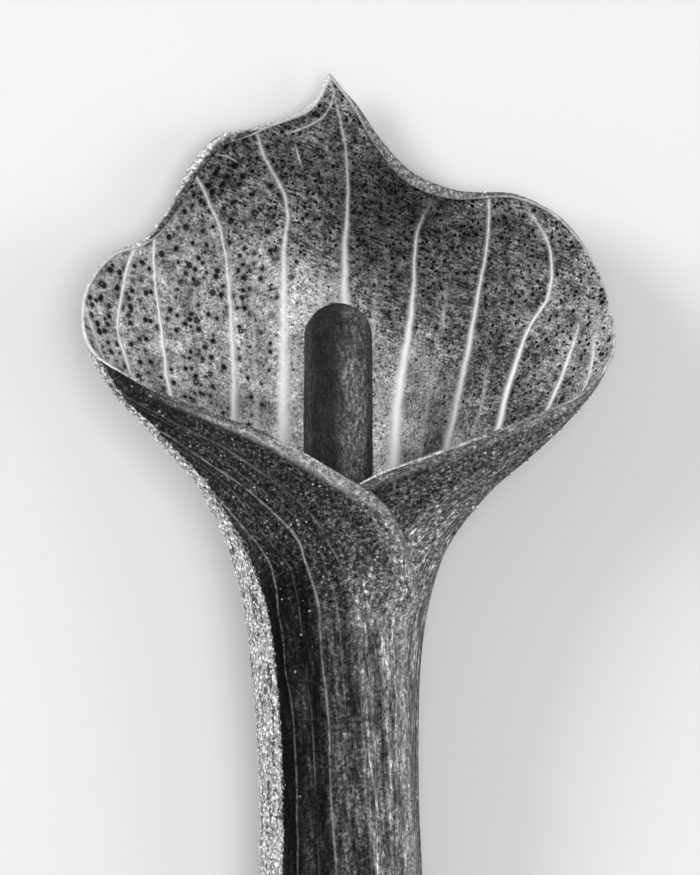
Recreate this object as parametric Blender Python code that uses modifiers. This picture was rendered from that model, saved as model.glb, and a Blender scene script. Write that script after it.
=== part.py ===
"""A jack-in-the-pulpit flower, cut and laid on its back.

Metres, +Z up. The flower lies along Y with the tip of its hood towards +Y and its open side up.
Its pieces are the spathe, one leaf rolled into a tube below and spread into a hood above, the
spadix that stands inside it, the ovaries round the spadix's foot, and the stalk that carries all.

The pieces are drawn upright first, in millimetres: x to the flower's right, y up its axis with 0
at mid-tube, and z towards its open front. An empty then turns the whole flower onto its back.
"""
import math

import bmesh
import bpy
import numpy as np

MM = 0.001

# Driving dimensions, in millimetres.
WALL = 0.8  # thickness of the spathe
GAP = 0.3  # clearance between pieces that touch in the real flower
THROAT = 28.0  # height where the tube opens into the hood
TUBE_FOOT = -27.0  # height where the tube closes round the stalk
LAP = 0.65  # how far each margin leaves the middle radius per quarter turn past the side
HANDLE_AT_RIM = 0.30  # how long the spathe keeps the rim's own slope, as a share of its height

SPADIX_RADIUS = 3.95
SPADIX_TOP = 64.6
FERTILE_RADIUS = 2.3
OVARY_DIAMETER = 2.2
OVARY_LENGTH = 2.5
OVARY_WHORLS = 5
OVARIES_IN_WHORL = 9
WHORL_PITCH = 2.5
LOWEST_WHORL = -17.5

STALK_TOP = -22.0
STALK_LENGTH = 40.0
STALK_RADIUS = 3.2

# Middle radius of the tube by height: a pinched foot, a swollen chamber, a slim neck, the throat.
TUBE_RADII = [
    (-27.0, 3.95), (-25.5, 4.6), (-22.5, 7.2), (-18.5, 8.7), (-12.0, 9.4),
    (-4.0, 9.0), (8.0, 8.6), (18.0, 8.8), (28.0, 9.6), (32.0, 10.2),
]
# Sideways drift of the tube's axis by height.
TUBE_DRIFT = [(-27.0, 0.0), (0.0, 0.0), (15.0, -0.3), (25.0, -0.55), (32.0, -0.45)]
# By height, the degrees from the midrib to the left margin and to the right one, and how much
# of the lap there is: the margins meet edge to edge at the foot, then wrap past each other.
MARGINS = [
    (-27.0, 176, 176, 0.0), (-26.2, 176, 176, 0.6), (-25.4, 176, 176, 1.0),
    (-24.6, 178, 178, 1.0), (-21.0, 206, 203, 1.0), (-16.0, 232, 213, 1.0),
    (-8.0, 239, 214, 1.0), (10.0, 239, 214, 1.0), (24.0, 234, 214, 1.0), (31.0, 229, 214, 1.0),
]

# The two edges of the blade, each from the tip round its lobe and down the front to the throat:
# x, y, z, the angle round the throat that it grows from, how long the wall keeps the tube's slope
# as a share of its height, and the sideways and forward lean with which it reaches the edge.
LEFT_EDGE = [
    (-1.3, 91.7, -14.0, 0, 0.40, -0.05, 0.30),
    (-3.2, 88.4, -14.2, 8, 0.40, -0.10, 0.35),
    (-9.6, 85.6, -14.0, 26, 0.40, -0.20, 0.45),
    (-14.2, 83.8, -13.4, 38, 0.40, -0.30, 0.50),
    (-17.1, 80.5, -12.4, 49, 0.40, -0.40, 0.48),
    (-19.7, 76.1, -11.2, 58, 0.42, -0.45, 0.45),
    (-22.4, 72.5, -9.8, 66, 0.44, -0.45, 0.35),
    (-26.4, 70.4, -7.4, 74, 0.46, -0.42, 0.25),
    (-28.8, 66.9, -4.6, 82, 0.50, -0.38, 0.15),
    (-29.2, 62.9, -2.0, 89, 0.52, -0.36, 0.05),
    (-28.3, 59.8, 0.6, 95, 0.54, -0.45, 0.00),
    (-22.3, 55.7, 6.2, 108, 0.52, -0.80, 0.10),
    (-14.9, 52.6, 10.6, 125, 0.45, -0.80, 0.20),
    (-8.2, 50.0, 12.5, 144, 0.40, -0.50, 0.20),
    (-1.1, 46.2, 12.9, 170, 0.38, -0.20, 0.15),
    (5.0, 41.9, 11.7, 197, 0.38, 0.00, 0.00),
    (7.9, 35.2, 9.0, 219, 0.38, 0.00, 0.00),
    (8.5, 31.3, 7.2, 229, 0.38, 0.00, 0.00),
]
RIGHT_EDGE = [
    (-1.3, 91.7, -14.0, 0, 0.40, -0.05, 0.30),
    (1.6, 88.5, -14.2, 10, 0.40, 0.05, 0.35),
    (4.7, 84.0, -13.8, 21, 0.40, 0.10, 0.40),
    (8.6, 80.0, -12.7, 35, 0.40, 0.20, 0.45),
    (13.0, 78.1, -11.7, 46, 0.40, 0.30, 0.45),
    (20.7, 77.3, -9.3, 59, 0.42, 0.40, 0.40),
    (24.8, 75.1, -7.4, 67, 0.44, 0.45, 0.33),
    (28.5, 70.1, -4.6, 77, 0.46, 0.48, 0.22),
    (30.7, 63.6, -1.0, 86, 0.47, 0.48, 0.12),
    (30.9, 59.6, 1.2, 93, 0.48, 0.52, 0.05),
    (28.0, 55.1, 4.6, 102, 0.47, 0.68, 0.05),
    (19.8, 51.2, 8.1, 124, 0.44, 0.78, 0.15),
    (10.0, 47.5, 9.6, 152, 0.40, 0.60, 0.15),
    (3.3, 44.9, 9.5, 174, 0.38, 0.30, 0.10),
    (-2.8, 40.3, 8.6, 199, 0.38, 0.05, 0.00),
    (-5.3, 31.3, 7.2, 214, 0.38, 0.00, 0.00),
]

# Mesh density.
COLUMNS_PER_SIDE = 24
TUBE_ROWS = 10
HOOD_ROWS = 13
ROUND_STEPS = 24
OVARY_STEPS = 8


def curve_at(knots, t):
    """Smooth curve through knots, rows of (t, value, value...), read at the numbers t."""
    knots = np.asarray(knots, float)
    at, values = knots[:, 0], knots[:, 1:]
    slopes = np.gradient(values, at, axis=0)
    t = np.clip(np.asarray(t, float), at[0], at[-1])
    i = np.clip(np.searchsorted(at, t, side="right") - 1, 0, len(at) - 2)
    step = (at[i + 1] - at[i])[..., None]
    u = (t - at[i])[..., None] / step
    from_start = values[i] * (1 + 2 * u) * (1 - u) ** 2 + slopes[i] * step * u * (1 - u) ** 2
    from_end = values[i + 1] * u**2 * (3 - 2 * u) + slopes[i + 1] * step * u**2 * (u - 1)
    return from_start + from_end


def tube_point(side, angle, height):
    """Points of the rolled tube at angles from the midrib, on the left (-1) or the right (1)."""
    spread = LAP * curve_at(MARGINS, height)[..., 2] * np.clip(angle / 90 - 1, 0, None)
    radius = curve_at(TUBE_RADII, height)[..., 0] - side * spread
    drift = curve_at(TUBE_DRIFT, height)[..., 0]
    turn = np.radians(angle)
    return np.stack(
        [side * radius * np.sin(turn) + drift, height + 0 * turn, -radius * np.cos(turn)], -1
    )


def half_spathe(side):
    """Rows of points, foot to edge, from the midrib to the margin of one side of the spathe."""
    edge = np.array(LEFT_EDGE if side < 0 else RIGHT_EDGE, float)
    lengths = np.linalg.norm(np.diff(edge[:, :3], axis=0), axis=1)
    along = np.concatenate([[0], np.cumsum(lengths)])
    places = np.linspace(0, along[-1], COLUMNS_PER_SIDE + 1)
    rim = curve_at(np.column_stack([along, edge]), places)
    tip, angle, rise = rim[:, :3], rim[:, 3], rim[:, 4:5]
    lean = np.column_stack([rim[:, 5], np.ones(len(rim)), rim[:, 6]])

    # The hood: from each point of the throat, one cubic arc out to the edge.
    throat = np.full(len(rim), THROAT)
    root = tube_point(side, angle, throat)
    slope = tube_point(side, angle, throat + 0.5) - tube_point(side, angle, throat - 0.5)
    height = np.linalg.norm(tip - root, axis=1)[:, None]
    lower = root + slope * height * rise
    upper = tip - lean * height * HANDLE_AT_RIM
    v = np.linspace(0, 1, HOOD_ROWS + 1)[:, None, None]
    hood = (1 - v) ** 3 * root + 3 * (1 - v) ** 2 * v * lower + 3 * (1 - v) * v**2 * upper + v**3 * tip

    # The tube: level rows, closer together where the foot curves in.
    down = np.linspace(1, 0, TUBE_ROWS + 1)[:-1]
    levels = THROAT - (THROAT - TUBE_FOOT) * (1 - (1 - down) ** 1.5)
    margins = curve_at(MARGINS, levels)[:, 0 if side < 0 else 1]
    at_throat = curve_at(MARGINS, THROAT)[0 if side < 0 else 1]
    tube = [
        tube_point(side, angle * margin / at_throat, np.full(len(rim), level))
        for level, margin in zip(levels, margins)
    ]
    return np.concatenate([tube, hood])


def material(name, colour, roughness):
    made = bpy.data.materials.new(name)
    made.use_nodes = True
    shader = made.node_tree.nodes["Principled BSDF"]
    shader.inputs["Base Color"].default_value = (*colour, 1.0)
    shader.inputs["Roughness"].default_value = roughness
    shader.inputs["Metallic"].default_value = 0.0
    return made


def add_object(name, mesh, collection, parent, finish):
    """Link a mesh or curve as a named piece of the flower, with its material."""
    piece = bpy.data.objects.new(name, mesh)
    collection.objects.link(piece)
    piece.parent = parent
    if not mesh.materials:
        mesh.materials.append(finish)
    return piece


def build_spathe(collection, parent):
    """A flat sheet, rolled and flared: its rows run foot to edge, its columns margin to margin."""
    left, right = half_spathe(-1), half_spathe(1)
    points = np.concatenate([left[:, ::-1], right[:, 1:]], axis=1)
    rows, columns, _ = points.shape
    sheet = bmesh.new()
    bmesh.ops.create_grid(sheet, x_segments=columns - 1, y_segments=rows - 1, size=1.0)
    for vertex in sheet.verts:
        column = round((vertex.co.x + 1) / 2 * (columns - 1))
        row = round((vertex.co.y + 1) / 2 * (rows - 1))
        vertex.co = points[row, column] * MM
    for face in sheet.faces:
        face.smooth = True
    mesh = bpy.data.meshes.new("spathe")
    sheet.to_mesh(mesh)
    sheet.free()
    finish = material("spathe_leaf", (0.20, 0.20, 0.20), 0.55)
    spathe = add_object("spathe", mesh, collection, parent, finish)
    wall = spathe.modifiers.new("wall", "SOLIDIFY")
    wall.thickness = WALL * MM
    wall.offset = 0.0
    wall.use_even_offset = True
    return spathe


def turned(name, profile, steps):
    """Mesh of a profile of (radius, height) in mm, listed top to bottom and turned about Z."""
    mesh = bpy.data.meshes.new(name)
    edges = [(i, i + 1) for i in range(len(profile) - 1)]
    mesh.from_pydata([(radius * MM, 0.0, height * MM) for radius, height in profile], edges, [])
    holder = bpy.data.objects.new(name, mesh)
    bpy.context.scene.collection.objects.link(holder)
    screw = holder.modifiers.new("turn", "SCREW")
    screw.axis = "Z"
    screw.steps = screw.render_steps = steps
    screw.use_merge_vertices = True
    screw.merge_threshold = 0.00001
    screw.use_smooth_shade = True
    bpy.context.view_layer.update()
    graph = bpy.context.evaluated_depsgraph_get()
    solid = bpy.data.meshes.new_from_object(holder.evaluated_get(graph))
    solid.name = name
    bpy.data.objects.remove(holder)
    bpy.data.meshes.remove(mesh)
    return solid


def build_spadix(collection, parent):
    """The club: a domed cylinder that narrows to the fertile foot standing on the stalk."""
    dome_foot = SPADIX_TOP - SPADIX_RADIUS
    profile = []
    for step in range(7):
        turn = math.radians(90 - 15 * step)
        profile.append((SPADIX_RADIUS * math.cos(turn), dome_foot + SPADIX_RADIUS * math.sin(turn)))
    profile[0] = (0.0, SPADIX_TOP)
    club = [(SPADIX_RADIUS, 45.0), (3.75, 32.0), (3.2, 18.0), (2.6, 6.0), (FERTILE_RADIUS, -3.0)]
    foot = STALK_TOP + GAP
    profile += club + [(FERTILE_RADIUS, foot + 1.5), (2.7, foot), (0.0, foot)]
    finish = material("spadix_club", (0.07, 0.07, 0.07), 0.6)
    spadix = add_object("spadix", turned("spadix", profile, ROUND_STEPS), collection, parent, finish)
    spadix.rotation_euler.x = -math.pi / 2
    spadix.location.x = -0.2 * MM
    return spadix


def build_ovaries(collection, parent):
    """Staggered whorls of small ovaries, each a plump flask whose mouth is its stigma."""
    half = OVARY_DIAMETER / 2
    flask = [
        (0.0, OVARY_LENGTH), (0.45 * half, OVARY_LENGTH - 0.1), (0.55 * half, 0.80 * OVARY_LENGTH),
        (half, 0.45 * OVARY_LENGTH), (0.75 * half, 0.10 * OVARY_LENGTH), (0.0, 0.0),
    ]
    mesh = turned("ovary", flask, OVARY_STEPS)
    finish = material("ovary_green", (0.30, 0.30, 0.30), 0.45)
    for index in range(OVARY_WHORLS * OVARIES_IN_WHORL):
        whorl, place = divmod(index, OVARIES_IN_WHORL)
        turn = 2 * math.pi * (place + 0.5 * (whorl % 2)) / OVARIES_IN_WHORL
        ovary = add_object(f"ovary_{index + 1:02d}", mesh, collection, parent, finish)
        seat = (FERTILE_RADIUS + GAP) * MM
        ovary.location = (
            seat * math.sin(turn) - 0.2 * MM,
            (LOWEST_WHORL + whorl * WHORL_PITCH) * MM,
            seat * math.cos(turn),
        )
        ovary.rotation_euler = (0.0, turn, 0.0)


def build_stalk(collection, parent):
    """The cut flower stalk: a fleshy rod with a slight bend, sawn off square at its end."""
    curve = bpy.data.curves.new("peduncle", "CURVE")
    curve.dimensions = "3D"
    curve.bevel_depth = STALK_RADIUS * MM
    curve.bevel_resolution = 4
    curve.use_fill_caps = True
    spline = curve.splines.new("POLY")
    count = 11
    spline.points.add(count - 1)
    for index, point in enumerate(spline.points):
        share = index / (count - 1)
        point.co = (1.6 * share**2 * MM, (STALK_TOP - share * STALK_LENGTH) * MM, 0.0, 1.0)
        point.radius = 1.0 - 0.08 * share
    spline.use_smooth = True
    finish = material("stalk_skin", (0.16, 0.16, 0.16), 0.5)
    return add_object("peduncle", curve, collection, parent, finish)


def lay_down(flower, spathe):
    """Turn the flower about X until hood and tube both touch the ground, and centre it."""
    graph = bpy.context.evaluated_depsgraph_get()
    mesh = spathe.evaluated_get(graph).to_mesh()
    skin = np.array([vertex.co for vertex in mesh.vertices])
    hood = skin[skin[:, 1] > THROAT * MM]
    tube = skin[skin[:, 1] <= THROAT * MM]

    def lowest(points, tilt):
        return (points[:, 1] * math.sin(tilt) + points[:, 2] * math.cos(tilt)).min()

    low, high = 0.0, math.radians(20)
    for _ in range(40):
        tilt = (low + high) / 2
        if lowest(hood, tilt) < lowest(tube, tilt):
            low = tilt
        else:
            high = tilt
    flower.rotation_euler.x = tilt
    bpy.context.view_layer.update()
    corners = []
    for piece in flower.children:
        solid = piece.evaluated_get(graph)
        placed = flower.matrix_world @ piece.matrix_local
        corners += [placed @ vertex.co for vertex in solid.to_mesh().vertices]
        solid.to_mesh_clear()
    corners = np.array(corners)
    middle = (corners.min(axis=0) + corners.max(axis=0)) / 2
    flower.location = (-middle[0], -middle[1], -corners[:, 2].min())


def build_flower():
    for old in list(bpy.data.objects):
        bpy.data.objects.remove(old)
    collection = bpy.data.collections.new("jack_in_the_pulpit")
    bpy.context.scene.collection.children.link(collection)
    flower = bpy.data.objects.new("flower", None)
    collection.objects.link(flower)
    spathe = build_spathe(collection, flower)
    build_spadix(collection, flower)
    build_ovaries(collection, flower)
    build_stalk(collection, flower)
    bpy.context.view_layer.update()
    lay_down(flower, spathe)


build_flower()
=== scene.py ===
"""A jack-in-the-pulpit flower, cut and laid on its back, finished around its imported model.

Every piece is drawn upright in millimetres, as its solid is: x to the flower's right, y up its
axis and z out of its open front. Its mesh is then laid on its back, in metres.
"""
import math

import bpy
import numpy as np
from mathutils import Matrix, Vector


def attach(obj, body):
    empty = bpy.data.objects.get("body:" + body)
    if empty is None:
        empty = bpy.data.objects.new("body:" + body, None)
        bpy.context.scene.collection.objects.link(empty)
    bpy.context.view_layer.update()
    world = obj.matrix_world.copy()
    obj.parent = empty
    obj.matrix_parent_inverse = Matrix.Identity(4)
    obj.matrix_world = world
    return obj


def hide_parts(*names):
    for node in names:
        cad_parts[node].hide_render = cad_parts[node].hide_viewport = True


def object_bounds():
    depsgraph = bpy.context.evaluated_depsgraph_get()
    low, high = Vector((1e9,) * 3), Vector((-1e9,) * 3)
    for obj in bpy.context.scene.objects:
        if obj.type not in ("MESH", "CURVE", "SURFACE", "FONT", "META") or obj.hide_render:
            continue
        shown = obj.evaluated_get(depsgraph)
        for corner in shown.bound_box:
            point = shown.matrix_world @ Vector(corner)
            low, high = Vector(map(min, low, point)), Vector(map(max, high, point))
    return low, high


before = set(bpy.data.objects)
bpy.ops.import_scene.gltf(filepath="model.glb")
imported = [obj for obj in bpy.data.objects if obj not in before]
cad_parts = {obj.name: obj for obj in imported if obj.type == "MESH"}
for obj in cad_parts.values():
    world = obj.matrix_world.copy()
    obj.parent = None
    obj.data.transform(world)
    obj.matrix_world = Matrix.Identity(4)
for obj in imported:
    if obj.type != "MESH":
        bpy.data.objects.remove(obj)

bpy.ops.object.select_all(action="DESELECT")
cad_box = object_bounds()

# ---------------------------------------------------------------------------------------------
# The spadix: a fleshy club as thick as a pencil, standing free in the middle of the flower on a
# slimmer fertile foot. It is one piece of solid tissue, dark and matt, drawn up into fine grain
# along its length, and it grows out of the top of the stalk.
MM = 0.001
CLUB_ASIDE = -0.2  # it stands this far to the flower's right
CLUB_TOP = 64.6
CLUB_RINGS = [  # radius and height, foot to dome
    (2.7, -21.7), (2.45, -20.8), (2.3, -19.5), (2.3, -12.0), (2.3, -3.0), (2.6, 6.0), (3.2, 18.0),
    (3.55, 25.0), (3.75, 32.0), (3.87, 39.0), (3.95, 45.0), (3.93, 50.0), (3.9, 55.0),
]
DOME_ANGLES = np.radians([0, 14, 28, 42, 55, 67, 78, 86])  # of its rings, up from its widest


class Shade:
    """A shader output that adds, multiplies and fades as a number does, by adding nodes."""

    def __init__(self, finish, socket):
        self.finish, self.socket = finish, socket

    def maths(self, operation, *values):
        return self.finish.node("Math", {"operation": operation}, dict(enumerate(values)))

    def __add__(self, other):
        return self.maths("ADD", self, other)

    def __mul__(self, other):
        return self.maths("MULTIPLY", self, other)

    def __sub__(self, other):
        return self.maths("SUBTRACT", self, other)

    def __rsub__(self, other):
        return self.maths("SUBTRACT", other, self)

    def __pow__(self, other):
        return self.maths("POWER", self, other)

    def __rpow__(self, other):
        return self.maths("POWER", other, self)

    def __abs__(self):
        return self.maths("ABSOLUTE", self)

    __radd__, __rmul__ = __add__, __mul__

    def rounded(self):
        return self.maths("ROUND", self)

    def over(self, other):
        """The greater of two."""
        return self.maths("MAXIMUM", self, other)

    def fade(self, none, full):
        """0 where the value is none, 1 where it is full, and eased between."""
        sockets = {"Value": self, "From Min": none, "From Max": full}
        return self.finish.node("MapRange", {"interpolation_type": "SMOOTHSTEP"}, sockets)

    def towards(self, other, share):
        """This value where share is 0, the other where it is 1."""
        return self + (other - self) * share

    def output(self, name):
        """Another output of the same node."""
        return Shade(self.finish, self.socket.node.outputs[name])


class Finish:
    """A material, with its patterns in millimetres."""

    def __init__(self, name, roughness, specular=0.5):
        self.material = bpy.data.materials.new(name)
        self.material.use_nodes = True
        self.skin = self.material.node_tree.nodes["Principled BSDF"]
        self.skin.inputs["Roughness"].default_value = roughness
        self.skin.inputs["Specular IOR Level"].default_value = specular
        place = self.node("TexCoord", {}, {}).output("Object")
        self.place = self.node("VectorMath", {"operation": "SCALE"}, {0: place, "Scale": 1 / MM})

    def node(self, kind, settings, sockets):
        """Add a node with its settings, then its values and links, and give its first output."""
        made = self.material.node_tree.nodes.new("ShaderNode" + kind)
        for name, value in settings.items():
            setattr(made, name, value)
        for name, value in sockets.items():
            self.join(made.inputs[name], value)
        return Shade(self, next(output for output in made.outputs if output.enabled))

    def join(self, socket, value):
        if isinstance(value, Shade):
            self.material.node_tree.links.new(value.socket, socket)
        else:
            socket.default_value = value

    def attribute(self, name):
        return self.node("Attribute", {"attribute_name": name}, {}).output("Fac")

    def stretched(self, scale, turn=0.0):
        """The place in the pattern, scaled by (x, y, z) and first turned about X."""
        sockets = {"Vector": self.place, "Rotation": (turn, 0.0, 0.0)}
        turned = self.node("Mapping", {}, sockets)
        return self.node("VectorMath", {"operation": "MULTIPLY"}, {0: turned, 1: scale})

    def mottle(self, vector, scale, detail=2.0, roughness=0.5):
        """Soft noise about 0.5."""
        sockets = {"Vector": vector, "Scale": scale, "Detail": detail, "Roughness": roughness}
        return self.node("TexNoise", {}, sockets)

    def grain(self, spread, *noise):
        """The same noise about 0, spread wider or narrower."""
        return (self.mottle(*noise) - 0.5) * spread

    def cells(self, vector, scale, feature="F1"):
        """Distance from the nearest of scattered points, in the pattern's own units."""
        sockets = {"Vector": vector, "Scale": scale}
        return self.node("TexVoronoi", {"feature": feature}, sockets)

    def paint(self, grey):
        grey = grey if isinstance(grey, Shade) else (grey, grey, grey, 1.0)
        self.join(self.skin.inputs["Base Color"], grey)

    def emboss(self, height, depth):
        """Raise the surface by depth, in millimetres, where height is 1."""
        sockets = {"Height": height, "Distance": depth * MM, "Strength": 1.0}
        self.join(self.skin.inputs["Normal"], self.node("Bump", {}, sockets))


# The flower rests on the back of its hood and of its tube. The club is round, so the long axis of
# its solid gives the turn and the place of every piece.
club_solid = np.array([tuple(v.co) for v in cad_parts["spadix"].data.vertices])
club_middle = club_solid.mean(axis=0)
flower_axis = np.linalg.svd(club_solid - club_middle, full_matrices=False)[2][0]
flower_axis *= np.sign(flower_axis[1])
club_tip = club_middle + flower_axis * ((club_solid - club_middle) @ flower_axis).max()
tilt = math.atan2(flower_axis[2], flower_axis[1])
lying = (
    Matrix.Translation(club_tip)
    @ Matrix.Rotation(tilt, 4, "X")
    @ Matrix.Translation((-CLUB_ASIDE * MM, -CLUB_TOP * MM, 0.0))
    @ Matrix.Scale(MM, 4)
)


def lay_down(piece):
    """Put a piece drawn upright in millimetres in its place in the lying flower, in its mesh."""
    bpy.context.view_layer.update()
    piece.data.transform(lying @ piece.matrix_world)
    piece.matrix_world = Matrix.Identity(4)
    piece.data.update()


def apply_all(piece):
    bpy.context.view_layer.objects.active = piece
    for modifier in list(piece.modifiers):
        bpy.ops.object.modifier_apply(modifier=modifier.name)


def turned_up(name, rings, sides, aside=0.0):
    """A round piece raised ring by ring from its foot, closed at both ends."""
    radius, height = rings[0]
    bpy.ops.mesh.primitive_circle_add(
        vertices=sides, radius=radius, fill_type="NGON",
        location=(aside, height, 0.0), rotation=(-math.pi / 2, 0.0, 0.0),
    )
    piece = bpy.context.object
    piece.name = piece.data.name = name
    bpy.ops.object.mode_set(mode="EDIT")
    for wide, high in rings[1:]:
        bpy.ops.mesh.extrude_region_move(TRANSFORM_OT_translate={"value": (0, high - height, 0)})
        share = wide / radius
        bpy.ops.transform.resize(value=(share,) * 3, center_override=(aside, high, 0.0))
        radius, height = wide, high
    return piece


def face_outwards():
    """Point all faces of the mesh in hand outwards, and leave edit mode."""
    bpy.ops.mesh.select_all(action="SELECT")
    bpy.ops.mesh.normals_make_consistent(inside=False)
    bpy.ops.object.mode_set(mode="OBJECT")


def draw_in(sunk=0.0):
    """Close the last ring in one point, sunk that far below it."""
    bpy.ops.mesh.inset(thickness=0.12)
    bpy.ops.transform.translate(value=(0.0, -sunk, 0.0))
    bpy.ops.mesh.merge(type="CENTER")


def soften(piece, levels):
    smooth = piece.modifiers.new("smooth", "SUBSURF")
    smooth.levels = smooth.render_levels = levels


dome_radius = CLUB_RINGS[-1][0]
dome = [
    (dome_radius * math.cos(angle), CLUB_TOP - dome_radius + dome_radius * math.sin(angle))
    for angle in DOME_ANGLES
]
club = turned_up("spadix_club", CLUB_RINGS + dome, 40, CLUB_ASIDE)
draw_in()
face_outwards()
soften(club, 2)
lumps = bpy.data.textures.new("club_lumps", "CLOUDS")
lumps.noise_scale = 2.6
uneven = club.modifiers.new("uneven", "DISPLACE")
uneven.texture = lumps
uneven.strength = 0.16
uneven.mid_level = 0.6
apply_all(club)
bpy.ops.object.shade_smooth()
lay_down(club)

# Painted light: the club is dark to its left and painted paler and more coarsely grained to its
# right, as if lit from there, except near its top, and has a faint painted highlight down its
# left edge.
flesh = Finish("spadix_flesh", 0.62, 0.15)
grain = flesh.grain(8.0, flesh.stretched((1.0, 0.42, 1.0), -tilt), 2.7, 3.0, 0.7)
fine = flesh.grain(8.0, flesh.place, 3.2, 2.0, 0.7)
patches = flesh.grain(6.0, flesh.stretched((1.0, 0.45, 1.0), -tilt), 0.5)
pores = flesh.cells(flesh.stretched((1.0, 0.6, 1.0), -tilt), 1.6)
axis_x, top_y = (float(value) / MM for value in club_tip[:2])
across = flesh.node("SeparateXYZ", {}, {0: flesh.place})
off_axis = across - axis_x
lit_side = (off_axis + patches * 0.25).fade(-0.7, 1.5) * (1 - off_axis.fade(2.9, 3.4) * 0.65)
speckle = (grain * 0.8 + fine * 0.7) * (0.8 + lit_side * 0.3) + patches * 0.35
on_top = across.output("Y").fade(top_y - 9, top_y - 3)
# Painted light: paler on the lit side and less so near the top, and a painted highlight at the left
# edge.
ground = 0.015 + lit_side * 0.10 * (1 - on_top * 0.4) + off_axis.fade(-2.5, -3.6) * 0.03
tone = ground * 2.0 ** speckle
tone = tone + pores.fade(0.3, 0.14) * grain.fade(0.0, 1.0) * (0.01 + lit_side * 0.08)
flesh.paint(tone)
flesh.emboss(grain * 0.12 + fine * 0.14 - pores.fade(0.3, 0.1) * 0.2, 0.2)
club.data.materials.append(flesh.material)
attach(club, "root")
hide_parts("spadix")

# ---------------------------------------------------------------------------------------------
# The spathe: one leaf that grew rolled, under a millimetre thick and thinner towards its margins.
# Below it is a tube whose left margin laps over the right one; above it flares into the open hood.
# It is a flat grid rolled to that form, to which Solidify gives a wall.
WALL = 0.8
THIN_EDGE = 0.45  # thickness at the margin, as a share of the wall
TUBE_FOOT = -27.0
THROAT = 28.0
LAP = 0.65  # how far the left margin stands out over the right one
HANDLE_AT_RIM = 0.30  # how long the blade keeps its lean at the edge, as a share of its height
PUCKER = 0.11  # how far the blade rises and sinks between its veins
TEAR_CROWD = 1.2  # the grid's columns crowd this near to a tear
TUBE_RADII = [
    (-27.0, 3.42), (-25.5, 4.5), (-22.5, 7.2), (-18.5, 8.7), (-12.0, 9.4),
    (-4.0, 9.0), (8.0, 8.6), (18.0, 8.8), (28.0, 9.6), (32.0, 10.2),
]
TUBE_DRIFT = [(-27.0, 0.0), (0.0, 0.0), (15.0, -0.3), (25.0, -0.55), (32.0, -0.45)]
# Height, degrees from the midrib to the left margin and to the right one, share of the lap.
MARGINS = [
    (-27.0, 180, 180, 0.0), (-26.2, 181, 181, 0.3), (-25.4, 184, 183, 0.7),
    (-24.6, 188, 186, 1.0), (-21.0, 206, 203, 1.0), (-16.0, 232, 213, 1.0),
    (-8.0, 239, 214, 1.0), (10.0, 239, 214, 1.0), (24.0, 234, 214, 1.0), (31.0, 229, 214, 1.0),
]
# The blade's edges from the tip round each lobe to the throat: x, y, z, the angle round the throat
# that it grows from, how long the wall keeps the tube's slope, and its lean at the edge.
LEFT_EDGE = [
    (-1.3, 91.7, -14.0, 0, 0.40, -0.05, 0.30),
    (-3.2, 88.4, -14.2, 8, 0.40, -0.10, 0.35),
    (-9.6, 85.6, -14.0, 26, 0.40, -0.20, 0.45),
    (-14.5, 84.2, -13.4, 38, 0.40, -0.30, 0.50),
    (-17.4, 80.9, -12.4, 49, 0.40, -0.40, 0.48),
    (-19.7, 76.1, -11.2, 58, 0.42, -0.45, 0.45),
    (-22.4, 72.5, -9.8, 66, 0.44, -0.45, 0.35),
    (-26.4, 70.4, -7.4, 74, 0.46, -0.42, 0.25),
    (-28.8, 66.9, -4.6, 82, 0.50, -0.38, 0.15),
    (-29.2, 62.9, -2.0, 89, 0.52, -0.36, 0.05),
    (-28.3, 59.8, 0.6, 95, 0.54, -0.45, 0.00),
    (-22.3, 55.7, 6.2, 108, 0.52, -0.80, 0.10),
    (-14.9, 52.6, 10.6, 125, 0.45, -0.80, 0.20),
    (-8.2, 50.0, 12.5, 144, 0.40, -0.50, 0.20),
    (-1.1, 46.2, 12.9, 170, 0.38, -0.20, 0.15),
    (5.0, 41.9, 11.7, 197, 0.38, 0.00, 0.00),
    (7.9, 35.2, 9.0, 219, 0.38, 0.00, 0.00),
    (8.5, 31.3, 7.2, 229, 0.38, 0.00, 0.00),
]
RIGHT_EDGE = [
    (-1.3, 91.7, -14.0, 0, 0.40, -0.05, 0.30),
    (1.6, 88.5, -14.2, 10, 0.40, 0.05, 0.35),
    (4.7, 84.0, -13.8, 21, 0.40, 0.10, 0.40),
    (8.6, 80.0, -12.7, 35, 0.40, 0.20, 0.45),
    (13.0, 78.1, -11.7, 46, 0.40, 0.30, 0.45),
    (20.7, 77.3, -9.3, 59, 0.42, 0.40, 0.40),
    (24.8, 75.1, -7.4, 67, 0.44, 0.45, 0.33),
    (28.5, 70.1, -4.6, 77, 0.46, 0.48, 0.22),
    (30.7, 63.6, -1.0, 86, 0.47, 0.48, 0.12),
    (30.9, 59.6, 1.2, 93, 0.48, 0.52, 0.05),
    (28.0, 55.1, 4.6, 102, 0.47, 0.68, 0.05),
    (19.8, 51.2, 8.1, 124, 0.44, 0.78, 0.15),
    (10.0, 47.5, 9.6, 152, 0.40, 0.60, 0.15),
    (3.3, 44.9, 9.5, 174, 0.38, 0.30, 0.10),
    (-2.8, 40.3, 8.6, 199, 0.38, 0.05, 0.00),
    (-5.3, 31.3, 7.2, 214, 0.38, 0.00, 0.00),
]
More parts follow.
